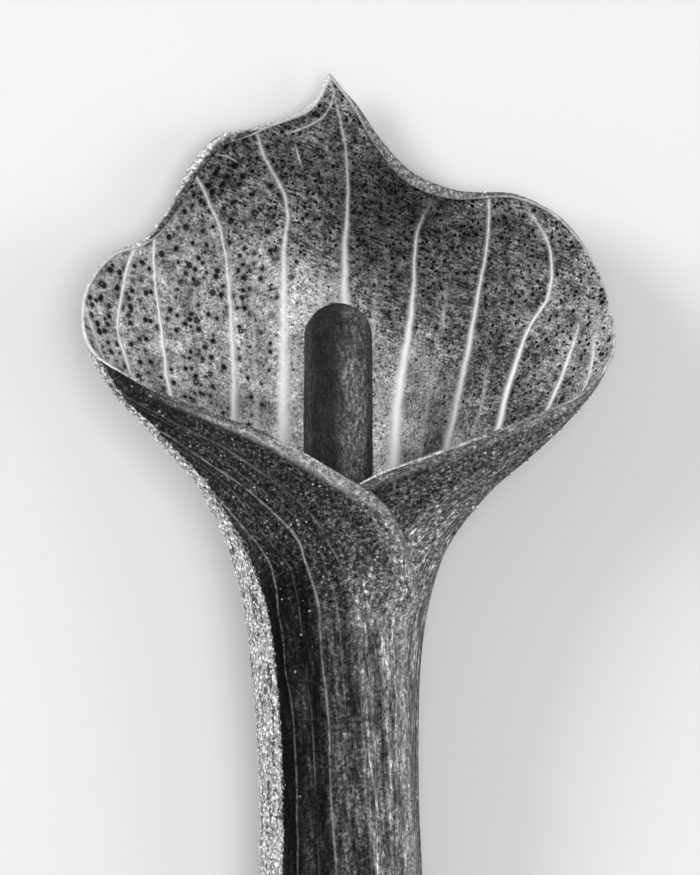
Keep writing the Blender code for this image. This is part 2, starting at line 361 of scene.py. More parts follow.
# How the margin turns over, by distance along the edge from the tip: degrees inwards, and the
# width of the strip that turns.
LEFT_ROLL = [
    (0, 0, 0.8), (5, 10, 0.8), (9, 90, 1.0), (14, 150, 1.6), (20, 155, 1.9), (25, 150, 1.5),
    (30, 135, 1.1), (34, 110, 0.9), (38, 60, 0.8), (42, 10, 0.8), (55, 0, 0.8), (62, -25, 1.1),
    (85, -35, 1.3), (98, -25, 1.1), (104, 0, 0.8),
]
RIGHT_ROLL = [
    (0, 0, 0.8), (3, 70, 0.9), (8, 130, 1.2), (15, 150, 1.9), (19, 150, 1.8), (24, 135, 1.2),
    (28, 115, 0.9), (33, 60, 0.8), (38, 0, 0.8), (60, 0, 0.8), (68, -20, 1.0), (90, -25, 1.1),
    (105, 0, 0.8),
]
# Small tears in the right lobe's edge: distance along the edge, depth and half width.
RIGHT_TEARS = [(47.3, 2.1, 0.40), (50.2, 1.2, 0.32)]
# The main veins run up the leaf from the tube to its edge. Each is numbered from the midrib, 0,
# negative to the left, and lists how high up the blade it stands how far round the leaf.
VEINS = {
    -7: [(0.0, -0.92), (0.7, -0.89), (0.88, -0.82), (0.96, -0.73), (1.0, -0.66)],
    -6: [(0.0, -0.87), (0.3, -0.85), (0.5, -0.82), (0.63, -0.785), (0.69, -0.755), (0.75, -0.70),
         (0.81, -0.635), (0.86, -0.53), (0.93, -0.49), (1.0, -0.47)],
    -5: [(0.0, -0.81), (0.17, -0.80), (0.36, -0.775), (0.52, -0.74), (0.60, -0.67),
         (0.68, -0.555), (0.75, -0.50), (0.85, -0.455), (1.0, -0.42)],
    -4: [(0.0, -0.74), (0.2, -0.715), (0.33, -0.675), (0.40, -0.60), (0.46, -0.53), (0.55, -0.48),
         (0.65, -0.44), (0.75, -0.405), (0.84, -0.385), (0.90, -0.355), (0.97, -0.325), (1, -0.31)],
    -3: [(0.0, -0.56), (0.2, -0.47), (0.4, -0.406), (0.59, -0.369), (0.71, -0.339), (0.83, -0.319),
         (0.96, -0.297), (1.0, -0.285)],
    -2: [(0.0, -0.33), (0.3, -0.288), (0.45, -0.263), (0.59, -0.227), (0.69, -0.205), (0.8, -0.19),
         (1.0, -0.20)],
    -1: [(0.0, -0.15), (0.33, -0.125), (0.51, -0.11), (0.72, -0.095), (0.83, -0.085), (0.91, -0.1),
         (1.0, -0.11)],
    0: [(0.0, 0.0), (0.4, 0.018), (0.7, 0.026), (0.8, 0.034), (0.9, 0.026), (1.0, 0.0)],
    1: [(0.0, 0.14), (0.31, 0.156), (0.46, 0.16), (0.6, 0.172), (0.75, 0.174), (0.85, 0.168),
        (0.92, 0.172), (1.0, 0.19)],
    2: [(0.0, 0.34), (0.38, 0.305), (0.49, 0.295), (0.6, 0.285), (0.75, 0.27), (0.87, 0.26),
        (1.0, 0.24)],
    3: [(0.0, 0.50), (0.3, 0.455), (0.51, 0.42), (0.57, 0.395), (0.63, 0.38), (0.74, 0.365),
        (0.86, 0.362), (0.93, 0.335), (0.98, 0.29), (1.0, 0.28)],
    4: [(0.0, 0.62), (0.4, 0.55), (0.7, 0.475), (0.75, 0.46), (0.79, 0.448), (0.87, 0.43),
        (1.0, 0.38)],
    5: [(0.0, 0.70), (0.5, 0.62), (0.75, 0.55), (0.85, 0.515), (0.9, 0.475), (1.0, 0.44)],
    6: [(0.0, 0.80), (0.5, 0.74), (0.7, 0.68), (0.85, 0.60), (1.0, 0.50)],
    7: [(0.0, 0.90), (0.5, 0.87), (0.8, 0.80), (0.92, 0.70), (1.0, 0.60)],
}
# How each vein shows on the lining, with the glow of light shining through it painted in: how
# bright low in the hood and at its top, how high up the blade it ends, and half its width in mm low
# in the hood and at its top.
VEIN_LOOKS = [
    (-8, 0.0, 0.0, 1.2, 0.2, 0.2), (-7, 0.2, 0.2, 1.2, 0.2, 0.2), (-6, 0.3, 0.3, 1.2, 0.2, 0.2),
    (-5, 0.4, 0.4, 1.2, 0.2, 0.2), (-4, 0.95, 0.85, 1.2, 0.20, 0.12),
    (-3, 1.0, 1.0, 1.2, 0.30, 0.10), (-2, 1.0, 0.58, 1.2, 0.38, 0.11),
    (-1, 1.0, 0.38, 1.2, 0.55, 0.11),
    (0, 1.0, 0.30, 1.05, 0.62, 0.08), (1, 1.0, 0.50, 0.97, 0.52, 0.09),
    (2, 1.0, 0.52, 1.2, 0.38, 0.10), (3, 1.0, 0.85, 1.02, 0.36, 0.10),
    (4, 0.9, 0.9, 0.92, 0.2, 0.15), (5, 1.0, 1.0, 0.97, 0.2, 0.15), (6, 0.3, 0.1, 1.2, 0.2, 0.2),
    (7, 0.2, 0.1, 1.2, 0.2, 0.2), (8, 0.0, 0.0, 1.2, 0.2, 0.2),
]
# Short veins that run apart from the main ones, through places x, y.
STRAY_VEINS = [
    [(-0.6, 89.6), (-1.1, 88.2), (-2.1, 86.7), (-3.6, 85.8), (-5.4, 85.1)],
    [(-5.1, 83.0), (-4.9, 82.2), (-4.7, 81.6)],
    [(-14.1, 82.3), (-13.2, 82.2), (-12.5, 81.8)],
]
# The lining's look about a place x, y: its ground, which is its own tone with the light that shines
# through the leaf and the shade in its folds painted in, and the radii of its large and small
# spots.
LINING_AND_LIGHT = [
    (-23.0, 63, 0.435, 0.37, 0.00), (-25.0, 68, 0.345, 0.39, 0.00), (-15.5, 62, 0.42, 0.34, 0.08),
    (-19.0, 71.5, 0.31, 0.37, 0.08), (-9.3, 60, 0.39, 0.26, 0.09), (-10.0, 70, 0.31, 0.34, 0.11),
    (-12.0, 78, 0.10, 0.36, 0.14), (-3.0, 76, 0.075, 0.14, 0.17), (-1.5, 84, 0.055, 0.00, 0.18),
    (-1.3, 90.5, 0.21, 0.00, 0.15), (4.2, 74, 0.030, 0.00, 0.17), (4.5, 66, 0.065, 0.00, 0.15),
    (5.2, 55.9, 0.25, 0.00, 0.06), (-3.0, 62, 0.56, 0.05, 0.06), (12.0, 67, 0.08, 0.00, 0.16),
    (9.8, 54.2, 0.37, 0.00, 0.12), (19.8, 69, 0.055, 0.00, 0.16), (17.0, 57, 0.054, 0.00, 0.14),
    (24.0, 64, 0.165, 0.12, 0.16), (28.0, 61, 0.30, 0.24, 0.17), (25.0, 73, 0.145, 0.00, 0.16),
    (0.0, 46, 0.54, 0.00, 0.05), (0.0, 20, 0.25, 0.00, 0.00), (0.0, -10, 0.15, 0.00, 0.00),
]
LINING_REACH = 4.0  # how far round each place its look is felt
# The outside's ground with its painted light and shade, by the way it faces: degrees from the
# front, negative to the left. It is darkest facing a little left of the front and painted paler as
# it turns to the right and round to the back.
SKIN_AND_LIGHT = [
    (-180, 0.08), (-150, 0.08), (-125, 0.08), (-95, 0.04), (-60, 0.009), (-44, 0.0035),
    (-34, 0.0035), (-20, 0.011), (-5, 0.032), (8, 0.054), (16, 0.085), (24, 0.12), (36, 0.18),
    (50, 0.16), (75, 0.12), (100, 0.14), (140, 0.09), (180, 0.08),
]
# How wide the strip of painted light down the left side is at each height.
LIT_FLANK = [(-27, 2.4), (26, 2.8), (31, 2.6), (36, 2.1), (40.5, 1.5), (45, 1.2), (54, 0.8), (66, 0.4)]
TUBE_ROWS = 40
HOOD_ROWS = 72
ROLL_ROWS = 12
COLUMNS_PER_SIDE = 184


def between(t, start, end, slope_out, slope_in, step):
    """The cubic from one knot to the next, a step apart, at shares t of the way."""
    from_start = start * (1 + 2 * t) * (1 - t) ** 2 + slope_out * step * t * (1 - t) ** 2
    from_end = end * t**2 * (3 - 2 * t) + slope_in * step * t**2 * (t - 1)
    return from_start + from_end


def curve_at(knots, t):
    """Smooth curve through knots, rows of (t, value, value...), read at the numbers t."""
    knots = np.asarray(knots, float)
    at, values = knots[:, 0], knots[:, 1:]
    slopes = np.gradient(values, at, axis=0)
    t = np.clip(np.asarray(t, float), at[0], at[-1])
    i = np.clip(np.searchsorted(at, t, side="right") - 1, 0, len(at) - 2)
    step = (at[i + 1] - at[i])[..., None]
    share = (t - at[i])[..., None] / step
    return between(share, values[i], values[i + 1], slopes[i], slopes[i + 1], step)


def straight_at(knots, t):
    """The same through straight runs: one row of values for each t."""
    knots = np.asarray(knots, float)
    return np.stack([np.interp(t, knots[:, 0], column) for column in knots[:, 1:].T], -1)


def ease(t):
    """0 up to t = 0, 1 from t = 1, and smooth between."""
    t = np.clip(t, 0, 1)
    return t * t * (3 - 2 * t)


def unit(vectors):
    return vectors / np.linalg.norm(vectors, axis=-1, keepdims=True)


def tube_point(side, angle, height):
    """Points of the rolled tube at angles from the midrib, on the left (-1) or the right (1)."""
    spread = LAP * curve_at(MARGINS, height)[..., 2] * np.clip(angle / 90 - 1, 0, None)
    radius = curve_at(TUBE_RADII, height)[..., 0] - side * spread
    drift = curve_at(TUBE_DRIFT, height)[..., 0]
    turn = np.radians(angle)
    return np.stack(
        [side * radius * np.sin(turn) + drift, height + 0 * turn, -radius * np.cos(turn)], -1
    )


def half_spathe(side):
    """Rows of points of one side, foot to edge, with how far round and how far up each lies.

    Round goes from 0 at the midrib to side at the margin; up from -1 at the foot, by 0 at the
    throat, to 1 at the edge of the blade.
    """
    edge = np.array(LEFT_EDGE if side < 0 else RIGHT_EDGE, float)
    along = np.concatenate([[0], np.cumsum(np.linalg.norm(np.diff(edge[:, :3], axis=0), axis=1))])
    total = along[-1]
    tears = RIGHT_TEARS if side > 0 else []

    # Columns stand even along the edge, and closer together at a tear.
    fine = np.linspace(0, total, 2000)
    crowd = 1 + 0 * fine
    for at, _, _ in tears:
        crowd += 4 * np.exp(-(((fine - at) / TEAR_CROWD) ** 2))
    crowd = np.concatenate([[0], np.cumsum((crowd[1:] + crowd[:-1]) / 2)])
    places = np.interp(np.linspace(0, crowd[-1], COLUMNS_PER_SIDE + 1), crowd, fine)

    # The hood: from each point of the throat, one cubic arc out to the edge.
    rim = curve_at(np.column_stack([along, edge]), places)
    tip, angle, rise = rim[:, :3], rim[:, 3], rim[:, 4:5]
    lean = np.column_stack([rim[:, 5], np.ones(len(rim)), rim[:, 6]])
    throat = np.full(len(rim), THROAT)
    root = tube_point(side, angle, throat)
    slope = tube_point(side, angle, throat + 0.5) - tube_point(side, angle, throat - 0.5)
    height = np.linalg.norm(tip - root, axis=1)[:, None]
    lower = root + slope * height * rise
    upper = tip - lean * height * HANDLE_AT_RIM

    def hood_at(v):
        w = 1 - v
        return w**3 * root + 3 * w**2 * v * lower + 3 * w * v**2 * upper + v**3 * tip

    # The strip at the edge that turns over: its arc, summed in steps from where it starts.
    roll = curve_at(LEFT_ROLL if side < 0 else RIGHT_ROLL, places)
    steps = np.linspace(0, 1, ROLL_ROWS + 1)[:, None]
    bend = np.radians(roll[:, 0]) * ease(steps / 0.7)
    middle = (bend[1:] + bend[:-1]) / 2
    ahead = np.concatenate([0 * bend[:1], np.cumsum(np.cos(middle), axis=0)]) / ROLL_ROWS
    aside = np.concatenate([0 * bend[:1], np.cumsum(np.sin(middle), axis=0)]) / ROLL_ROWS
    width = roll[:, 1]
    depth = sum(deep * np.exp(-(((places - at) / half) ** 2)) for at, deep, half in tears)
    curl = np.clip(np.abs(roll[:, 0]) / 90, 0, 1)
    reach = ahead.max(axis=0) * width + depth + curl * WALL * THIN_EDGE / 2
    speed = 3 * np.linalg.norm(tip - upper, axis=1)
    start = (1 - reach / speed)[:, None]

    rows = np.linspace(0, 1, HOOD_ROWS + 1)[:, None, None] * start
    hood = hood_at(rows)
    forward = unit(hood[-1] - hood_at(start - 0.01))
    inward = unit(side * np.cross(np.gradient(hood[-1], axis=0), forward))
    turned = hood[-1] + width[:, None] * (forward * ahead[..., None] + inward * aside[..., None])
    hood_up = np.broadcast_to(rows[..., 0], hood.shape[:2])
    roll_up = start[:, 0] + steps * width / speed

    # The tube: level rows, closer together where the foot curves in.
    down = np.linspace(1, 0, TUBE_ROWS + 1)[:-1]
    levels = THROAT - (THROAT - TUBE_FOOT) * (1 - (1 - down) ** 1.35)
    margins = curve_at(MARGINS, levels)[:, 0 if side < 0 else 1]
    at_throat = curve_at(MARGINS, THROAT)[0 if side < 0 else 1]
    tube = np.array([
        tube_point(side, angle * margin / at_throat, np.full(len(rim), level))
        for level, margin in zip(levels, margins)
    ])
    tube_up = (levels[:, None] - THROAT) / (THROAT - TUBE_FOOT) + 0 * angle

    points = np.concatenate([tube, hood, turned[1:]])
    up = np.concatenate([tube_up, hood_up, roll_up[1:]])
    around = np.broadcast_to(side * places / total, up.shape)
    return points, around, up, np.broadcast_to(places, up.shape)


def vein_numbers(around, height):
    """Which vein each place round the leaf lies at, as a number that runs on between the veins."""
    stands = np.array([-1.0, *(float(curve_at(path, height)[0]) for path in VEINS.values()), 1.0])
    numbers = np.array([-8, *VEINS, 8], float)
    pace = np.diff(numbers) / np.diff(stands)
    # A slope between both neighbours' keeps the numbers in order.
    slope = np.concatenate([pace[:1], 2 / (1 / pace[1:] + 1 / pace[:-1]), pace[-1:]])
    i = np.clip(np.searchsorted(stands, around, side="right") - 1, 0, len(pace) - 1)
    step = stands[i + 1] - stands[i]
    share = (around - stands[i]) / step
    return between(share, numbers[i], numbers[i + 1], slope[i], slope[i + 1], step)


left, right = half_spathe(-1), half_spathe(1)
sheet, sheet_round, sheet_up, rim_place = (
    np.concatenate([one[:, ::-1], other[:, 1:]], axis=1) for one, other in zip(left, right)
)
rows, columns = sheet_up.shape

# The vein number is read from a table of heights by places round the leaf.
STEPS_UP, STEPS_ROUND = 120, 800
round_leaf = np.linspace(-1, 1, STEPS_ROUND + 1)
table = np.array([vein_numbers(round_leaf, h) for h in np.linspace(0, 1, STEPS_UP + 1)])
row_at = np.clip(sheet_up, 0, 1) * STEPS_UP
column_at = (sheet_round + 1) / 2 * STEPS_ROUND
r = np.clip(row_at.astype(int), 0, STEPS_UP - 1)
c = np.clip(column_at.astype(int), 0, STEPS_ROUND - 1)
down_share, side_share = row_at - r, column_at - c
sheet_vein = (
    (table[r, c] * (1 - side_share) + table[r, c + 1] * side_share) * (1 - down_share)
    + (table[r + 1, c] * (1 - side_share) + table[r + 1, c + 1] * side_share) * down_share
)

# Between its veins the blade puckers a little towards its inside.
up_step, round_step = np.gradient(sheet, axis=0), np.gradient(sheet, axis=1)
outward = unit(np.cross(up_step, round_step))
off_ends = np.minimum(ease((sheet_up + 0.98) / 0.1), ease((1 - sheet_up) / 0.25))
off_ends *= ease((7.9 - np.abs(sheet_vein)) / 0.6)
pucker = PUCKER * np.cos(2 * np.pi * sheet_vein) * off_ends
sheet = sheet + outward * pucker[..., None]

# It flattens a little where it rests on the table, and stays under the top of its solid.
YIELD = 0.5  # it gives way from this far off, and ever more
laid = np.array(lying)[2]
half_wall = outward * (WALL / 2)
for face in (sheet + half_wall, sheet - half_wall):
    level = (face @ laid[:3] + laid[3]) / MM
    low = np.clip(cad_box[0][2] / MM + YIELD - level, 0, None)
    high = np.clip(level + YIELD - cad_box[1][2] / MM, 0, None)
    low, high = (
        np.where(over < 2 * YIELD, over**2 / (4 * YIELD), over - YIELD) for over in (low, high)
    )
    sheet = sheet + (low - high)[..., None] * laid[:3] / MM

# What the finishes need at each point of the leaf: how fast the vein numbers change there, how far
# it lies from the foot and from the edge, how it faces, and the look of its veins and ground.
up_step, round_step = np.gradient(sheet, axis=0), np.gradient(sheet, axis=1)
outward = unit(np.cross(up_step, round_step))
across_of, height_of, on_left = sheet[..., 0], sheet[..., 1], sheet_vein < 0
uu, ur, rr = (np.sum(a * b, -1) for a, b in
              ((up_step, up_step), (up_step, round_step), (round_step, round_step)))
vein_up, vein_round = np.gradient(sheet_vein, axis=0), np.gradient(sheet_vein, axis=1)
steepness = rr * vein_up**2 - 2 * ur * vein_up * vein_round + uu * vein_round**2
steepness /= uu * rr - ur**2
lengths = np.linalg.norm(np.diff(sheet, axis=0), axis=-1)
along = np.concatenate([np.zeros((1, columns)), np.cumsum(lengths, axis=0)])
widths = np.linalg.norm(np.diff(sheet, axis=1), axis=-1)
around = np.concatenate([np.zeros((rows, 1)), np.cumsum(widths, axis=1)], axis=1)
to_margin = np.minimum(around, around[:, -1:] - around)
to_edge = np.minimum(np.minimum(along, along[-1] - along), to_margin)
facing = np.degrees(np.arctan2(outward[..., 0], outward[..., 2]))
looks = straight_at(VEIN_LOOKS, sheet_vein.ravel()).reshape(rows, columns, 5)
high = ease((sheet_up - 0.25) / 0.65)
vein_light = looks[..., 0] * (1 - high) + looks[..., 1] * high
vein_light *= ease((looks[..., 2] - sheet_up) / 0.15)
place = sheet[..., None, :2] - np.array(LINING_AND_LIGHT)[:, :2]
near = np.exp(-(place**2).sum(-1) / (2 * LINING_REACH**2)) + 1e-12
lining = (near @ np.array(LINING_AND_LIGHT)[:, 2:]) / near.sum(-1, keepdims=True)

# How far each point lies off the nearest stray vein, to its left or right, and how near its run.
runs = np.array([(*a, *b) for line in STRAY_VEINS for a, b in zip(line, line[1:])])
start_at, run = runs[:, :2], runs[:, 2:] - runs[:, :2]
ahead = sheet[..., None, :2] - start_at
share = np.clip((ahead * run).sum(-1) / (run**2).sum(-1), 0, 1)
gap = np.linalg.norm(ahead - share[..., None] * run, axis=-1)
nearest = gap.argmin(-1)[..., None]
crossed = run[:, 0] * ahead[..., 1] - run[:, 1] * ahead[..., 0]
stray = np.take_along_axis(crossed / np.linalg.norm(run, axis=-1), nearest, -1)[..., 0]
past = np.take_along_axis(gap, nearest, -1)[..., 0] - np.abs(stray)
stray_light = ease(1 - past / 0.5) * ease(1.5 - gap.min(-1)) * (sheet_up > 0.3)
stray = np.clip(stray, -2, 2)

# The pale flank is painted light: a strip down the flower's left side, lit there from behind, that
# widens towards the tube, and goes on over its back.
turns = (outward[:, :-1, 2] >= 0) & (outward[:, 1:, 2] < 0) & (sheet[:, :-1, 0] < 0)
leftmost = np.where(turns, sheet[:, :-1, 0], np.inf).argmin(axis=1)
found = turns.any(axis=1)
left_side = sheet[found, leftmost[found]]
left_side = left_side[left_side[:, 1].argsort()]
from_side = across_of - np.interp(height_of, left_side[:, 1], left_side[:, 0])
strip = straight_at(LIT_FLANK, height_of.ravel()).reshape(rows, columns)
lit_flank = np.where(
    outward[..., 2] > 0,
    ease(0.5 + (strip - from_side) / 0.8) * on_left,
    ease((facing + 150) / 40) * (facing < -80),
)
lit_flank = lit_flank * ease((71 - height_of) / 6)

# The skin's ground, with its light and shade painted in by the way it faces. The flap that laps
# over the front is darkest at its left.
skin = straight_at(SKIN_AND_LIGHT, facing.ravel()).reshape(rows, columns)
on_flap = ease((height_of - 30) / 10) * on_left
skin = np.maximum(skin, on_flap * (0.026 - 0.010 * ease((-14 - across_of) / 5)))
# The front of the throat is paler about one place, and the right side is darker up the hood.
from_pale = ((across_of - 2.8) / 2.5) ** 2 + ((height_of - 31.5) / 4.5) ** 2
skin = skin * (1 + 0.6 * np.exp(-from_pale / 2))
skin = skin * (1 - 0.45 * ease((height_of - 38) / 8) * (sheet_vein > 0))

# A paler band runs along the margin over the front. Where the margin turns over it is pale away
# from its free edge, and its bend, where it turns away from the front, is painted pale as a
# highlight.
front = np.interp(height_of, [41, 45, 50, 54], [0.4, 0.7, 0.75, 0.6])
front = np.where(on_left, front, 0.25)
front *= ease((across_of + 24) / 14)
band = np.where(sheet_up > 0, np.where(height_of > 66, 0.0, front), 0.35)
line_light = np.interp(
    sheet_vein, [-6.6, -6, -5, -4, -3, -2, 0, 2], [0.15, 0.25, 0.9, 0.9, 1.0, 1.0, 0.6, 0.3]
)
roll = [straight_at(knots, rim_place)[..., 0] for knots in (LEFT_ROLL, RIGHT_ROLL)]
turned_over = np.clip(np.where(on_left, *roll) / 60, 0, 1)
dark_band = np.interp(height_of, [70, 77, 80, 84, 87], [0.8, 0.75, 0.35, 0.4, 0.7])
# Painted highlight: the bend, where it turns away from the front, is painted pale.
bend_highlight = ease((0.88 - np.abs(outward[..., 2])) / 0.2)
pale_share = np.maximum(ease((to_edge - dark_band) / 0.4), bend_highlight)
turned_pale_and_lit = turned_over * np.where(on_left, pale_share, 0.25)
near_edge = ease((2.8 - to_edge) / 0.5)
turned_over, turned_pale_and_lit = turned_over * near_edge, turned_pale_and_lit * near_edge
# A painted highlight along the lining's edge, broader near the tip on the left; low on the left and
# down the tube the edge is darker instead.
rim_light = np.where(height_of > 57, 0.75, 0.25) * ease((sheet_up + 0.1) / 0.1)
rim_light *= np.where(on_left, 1 - 0.25 * turned_over, 0.5)
rim_width = 0.13 + 0.3 * ease((height_of - 85) / 4) * on_left
rim_dark = np.maximum(ease((57 - height_of) / 3) * on_left, ease(-10 * sheet_up))
sheet_data = {
    "vein": sheet_vein,
    "spacing": 1 / np.sqrt(np.maximum(steepness, 1e-6)),
    "up": sheet_up,
    "along": along - along[TUBE_ROWS],
    "edge": to_edge,
    "vein_light": vein_light,
    "vein_width": looks[..., 3] * (1 - high) + looks[..., 4] * high,
    "stray": stray,
    "stray_light": stray_light,
    "lining": lining[..., 0],
    "large_spots": lining[..., 1],
    "small_spots": lining[..., 2],
    "skin": skin,
    "line_light": line_light,
    "flank": lit_flank,
    "band": band,
    "turned_over": turned_over,
    "turned_pale_and_lit": turned_pale_and_lit,
    "rim_light": rim_light,
    "rim_width": rim_width,
    "rim_dark": rim_dark,
}

# The lining: pale, spotted and finely mottled, with white veins and a painted glow on and about
# them low in the hood, as of light shining through the leaf.
inside = Finish("spathe_lining", 0.6, 0.06)
vein, spacing = inside.attribute("vein"), inside.attribute("spacing")
along_leaf, up_leaf = inside.attribute("along"), inside.attribute("up")
top = up_leaf.fade(0.6, 0.85)
waver = inside.grain(0.06, inside.node("CombineXYZ", {}, {0: vein * 6.0, 1: along_leaf}), 0.35)
off_number = abs(vein + waver - (vein + waver).rounded())
off_vein, off_middle = off_number * spacing, (0.5 - off_number) * spacing
strength, width = inside.attribute("vein_light"), inside.attribute("vein_width")
cell = inside.grain(3.0, inside.place, 2.4, 2.0, 0.6)
grains = inside.grain(3.0, inside.place, 4.0, 2.0, 0.6)
frayed = inside.mottle(inside.place, 3.0, 2.0)
ragged = off_vein + grains * 0.07
core = ragged.fade(width * (2.4 + frayed * 1.6), 0.0) ** 2.2 * strength
blotch = inside.grain(2.6, inside.place, 0.35, 1.0)
cloud = inside.grain(2.6, inside.place, 1.0)
slanted = inside.node("Mapping", {}, {"Vector": inside.place, "Rotation": (0.0, 0.0, 0.38)})
slanted = inside.node("VectorMath", {"operation": "MULTIPLY"}, {0: slanted, 1: (0.7, 2.6, 1.4)})
streak = inside.grain(3.0, slanted, 1.3, 2.0, 0.6)
# Its ground holds painted light and shade: the light shining through the leaf and the shade of its
# folds.
ground = inside.attribute("lining")
dim = ground.fade(0.32, 0.12)
fleck = 1 + cell * (0.7 - dim * 0.4) + grains * (1.1 + dim * 0.4) + streak * (0.2 + dim * 1.3)
shadowed = 1 + blotch * 0.65 + cloud * (0.5 + dim * 0.7)
ground = ground * fleck.over(0.15) * shadowed.over(0.35)
LARGE, SMALL = 1.08, 0.76  # mean distance between spots
large = inside.cells(inside.place, 1 / LARGE)
size = inside.attribute("large_spots") * (0.5 + large.output("Color")) + 0.001
here = large.output("Color").fade(0.05, 0.12)
large_spot = (large * LARGE + cell * 0.02).fade(size * 1.25, size * 0.6) * here
smudge = (large * LARGE).fade(size * 2.6, size * 0.8) * here
ringed = large.output("Color").fade(0.80, 0.84) * (large * LARGE).fade(size * 0.6, size * 0.25)
ground = ground * (1 - smudge * 0.38) * (1 - large_spot * 0.94 * (1 - ringed * 0.6))
small = inside.cells(inside.place, 1 / SMALL)
size = inside.attribute("small_spots") * (0.6 + small.output("Color") * 0.8) + 0.001
small_spot = (small * SMALL).fade(size * 1.5, size * 0.95)
ground = ground * (1 - small_spot * 0.95)
broken = inside.mottle(inside.node("CombineXYZ", {}, {0: vein * 3.0, 1: along_leaf * 0.15}), 1.0)
minor = off_middle.fade(0.5, 0.0) * broken.fade(0.36, 0.62) * up_leaf.fade(0.85, 0.5)
tone = ground.towards(0.7, minor * (0.3 + frayed * 0.5))
# A painted glow about each vein and on its white core, brightest low in the hood, as of light
# shining through the leaf.
tone = tone.towards(0.9, off_vein.fade(width * 2.8 + 0.25, 0.1) * strength * 0.32)
tone = tone.towards(1.0, core * (1.2 - frayed * 0.4 + grains * top * 0.8))
stray = (abs(inside.attribute("stray")) + grains * 0.05).fade(0.26, 0.0) ** 2
tone = tone.towards(0.6, stray * inside.attribute("stray_light") * (0.1 + frayed * 0.9))
edge = inside.attribute("edge")
rim = inside.attribute("rim_width")
# A painted highlight along the edge, and darker along it low on the left and down the tube.
on_rim = (edge + grains * 0.03).fade(rim * 2.4, rim) * inside.attribute("rim_light")
tone = tone.towards(0.8 + grains * 0.3, on_rim)
dark_rim = edge.fade(0.3, 0.15) * inside.attribute("rim_dark")
tone = tone.towards(0.06 + grains.over(0.0) * 0.5, dark_rim)
inside.paint(tone)
relief = core * 0.8 + cell * 0.12 + grains * 0.10 - large_spot * 0.15 - small_spot * 0.1
inside.emboss(relief, 0.18)

# The outside: dark and satiny, ribbed and finely grained along the leaf, and painted pale down its
# left flank with the light that falls there.
outside = Finish("spathe_skin", 0.6, 0.04)
vein, spacing = outside.attribute("vein"), outside.attribute("spacing")
along_leaf, flank = outside.attribute("along"), outside.attribute("flank")
slowly = outside.node("CombineXYZ", {}, {0: vein, 1: along_leaf * 0.15})
wandering = vein + outside.grain(0.45, slowly, 0.45)
off_number = abs(wandering - wandering.rounded())
off_vein, off_middle = off_number * spacing, (0.5 - off_number) * spacing
fibres = outside.node("CombineXYZ", {}, {0: vein * 5.0, 1: along_leaf * 0.16})
fibre = outside.grain(8.0, fibres, 1.1, 3.0, 0.7)
grit = outside.grain(8.0, outside.place, 2.3, 2.0, 0.8)
blotch = outside.grain(6.0, outside.place, 0.6)
ribs = outside.mottle(outside.node("CombineXYZ", {}, {0: vein * 6.0, 1: along_leaf * 0.03}), 0.9)
flakes = outside.node("CombineXYZ", {}, {0: vein * 6.0, 1: along_leaf * 0.9})
flake = outside.grain(8.0, flakes, 1.3, 2.0, 0.75)
# Its ground holds its light and shade, painted in by the way it faces.
skin_and_light = outside.attribute("skin")
coarse = skin_and_light.fade(0.04, 0.16)
on_tube = outside.attribute("up").fade(0.30, -0.02)
fleck = grit * (1.5 - coarse * 0.6 - on_tube * 0.5) + flake * (0.4 + coarse * 0.6 - on_tube * 0.3)
fleck = 2.2 ** (fleck + fibre * (0.2 + coarse * 0.2 + on_tube * 0.8))
ground = skin_and_light * fleck * 1.8 ** (blotch * 0.25)
jagged = off_vein + grit * 0.03
bright = (0.55 + skin_and_light.fade(0.004, 0.02) * 0.45) * outside.attribute("line_light")
line = jagged.fade(0.21 - on_tube * 0.05, 0.02) * (0.7 + flake * 0.4 + fibre * 0.15)
line = line * bright * (1.15 - on_tube * 0.4)
fine_line = off_middle.fade(0.16, 0.02) * fibre.fade(-1.0, 1.0)
ground = ground.towards(0.34 + coarse * 0.15, line * 0.8).towards(0.22, fine_line * bright * 0.6)
PITS, PEBBLES = 0.8, 0.55  # mean distance between them
pit = (outside.cells(outside.place, 1 / PITS) * PITS).fade(0.16, 0.07)
ground = ground * (1 - pit * 0.8)
pebble = (outside.cells(outside.place, 1 / PEBBLES) * PEBBLES).fade(0.36, 0.12)
# Down the left flank the skin is painted pale with the light that falls there, in rough pebbles
# painted bright at their middles, with dark cracks painted as the shade between them.
pale = (flank + grit * 0.14).fade(0.25, 0.95)
crack_shade = (grit * 0.5 + flake * 0.4 + fibre * 0.9).fade(0.1, -1.1)
lit_flank_white = (0.36 + pebble * 0.45) * 2.0 ** (grit * 0.6)
ground = ground.towards(lit_flank_white.towards(0.06, crack_shade * 0.95), pale)
edge = outside.attribute("edge")
band = (edge + grit * 0.15).fade(2.4, 1.2) * outside.attribute("band")
ground = ground.towards(0.40 * 2.0 ** (grit * 0.8 + flake * 0.3), band)
# Where the margin turns over it is rough and darker towards its free edge, and pale further in and
# on its bend, where the pale is a painted highlight.
ground = ground.towards(0.07 * 2.0 ** (grit * 1.3), outside.attribute("turned_over"))
ground = ground.towards(0.45 * 2.0 ** grit, outside.attribute("turned_pale_and_lit"))
outside.paint(ground)
relief = grit * 0.12 + fibre * 0.12 + ribs * 1.2 + line * 0.4 + flake * 0.15 * coarse
outside.emboss(relief + pale * (grit * 0.15 + pebble * 0.6) - pit * 0.4, 0.18)

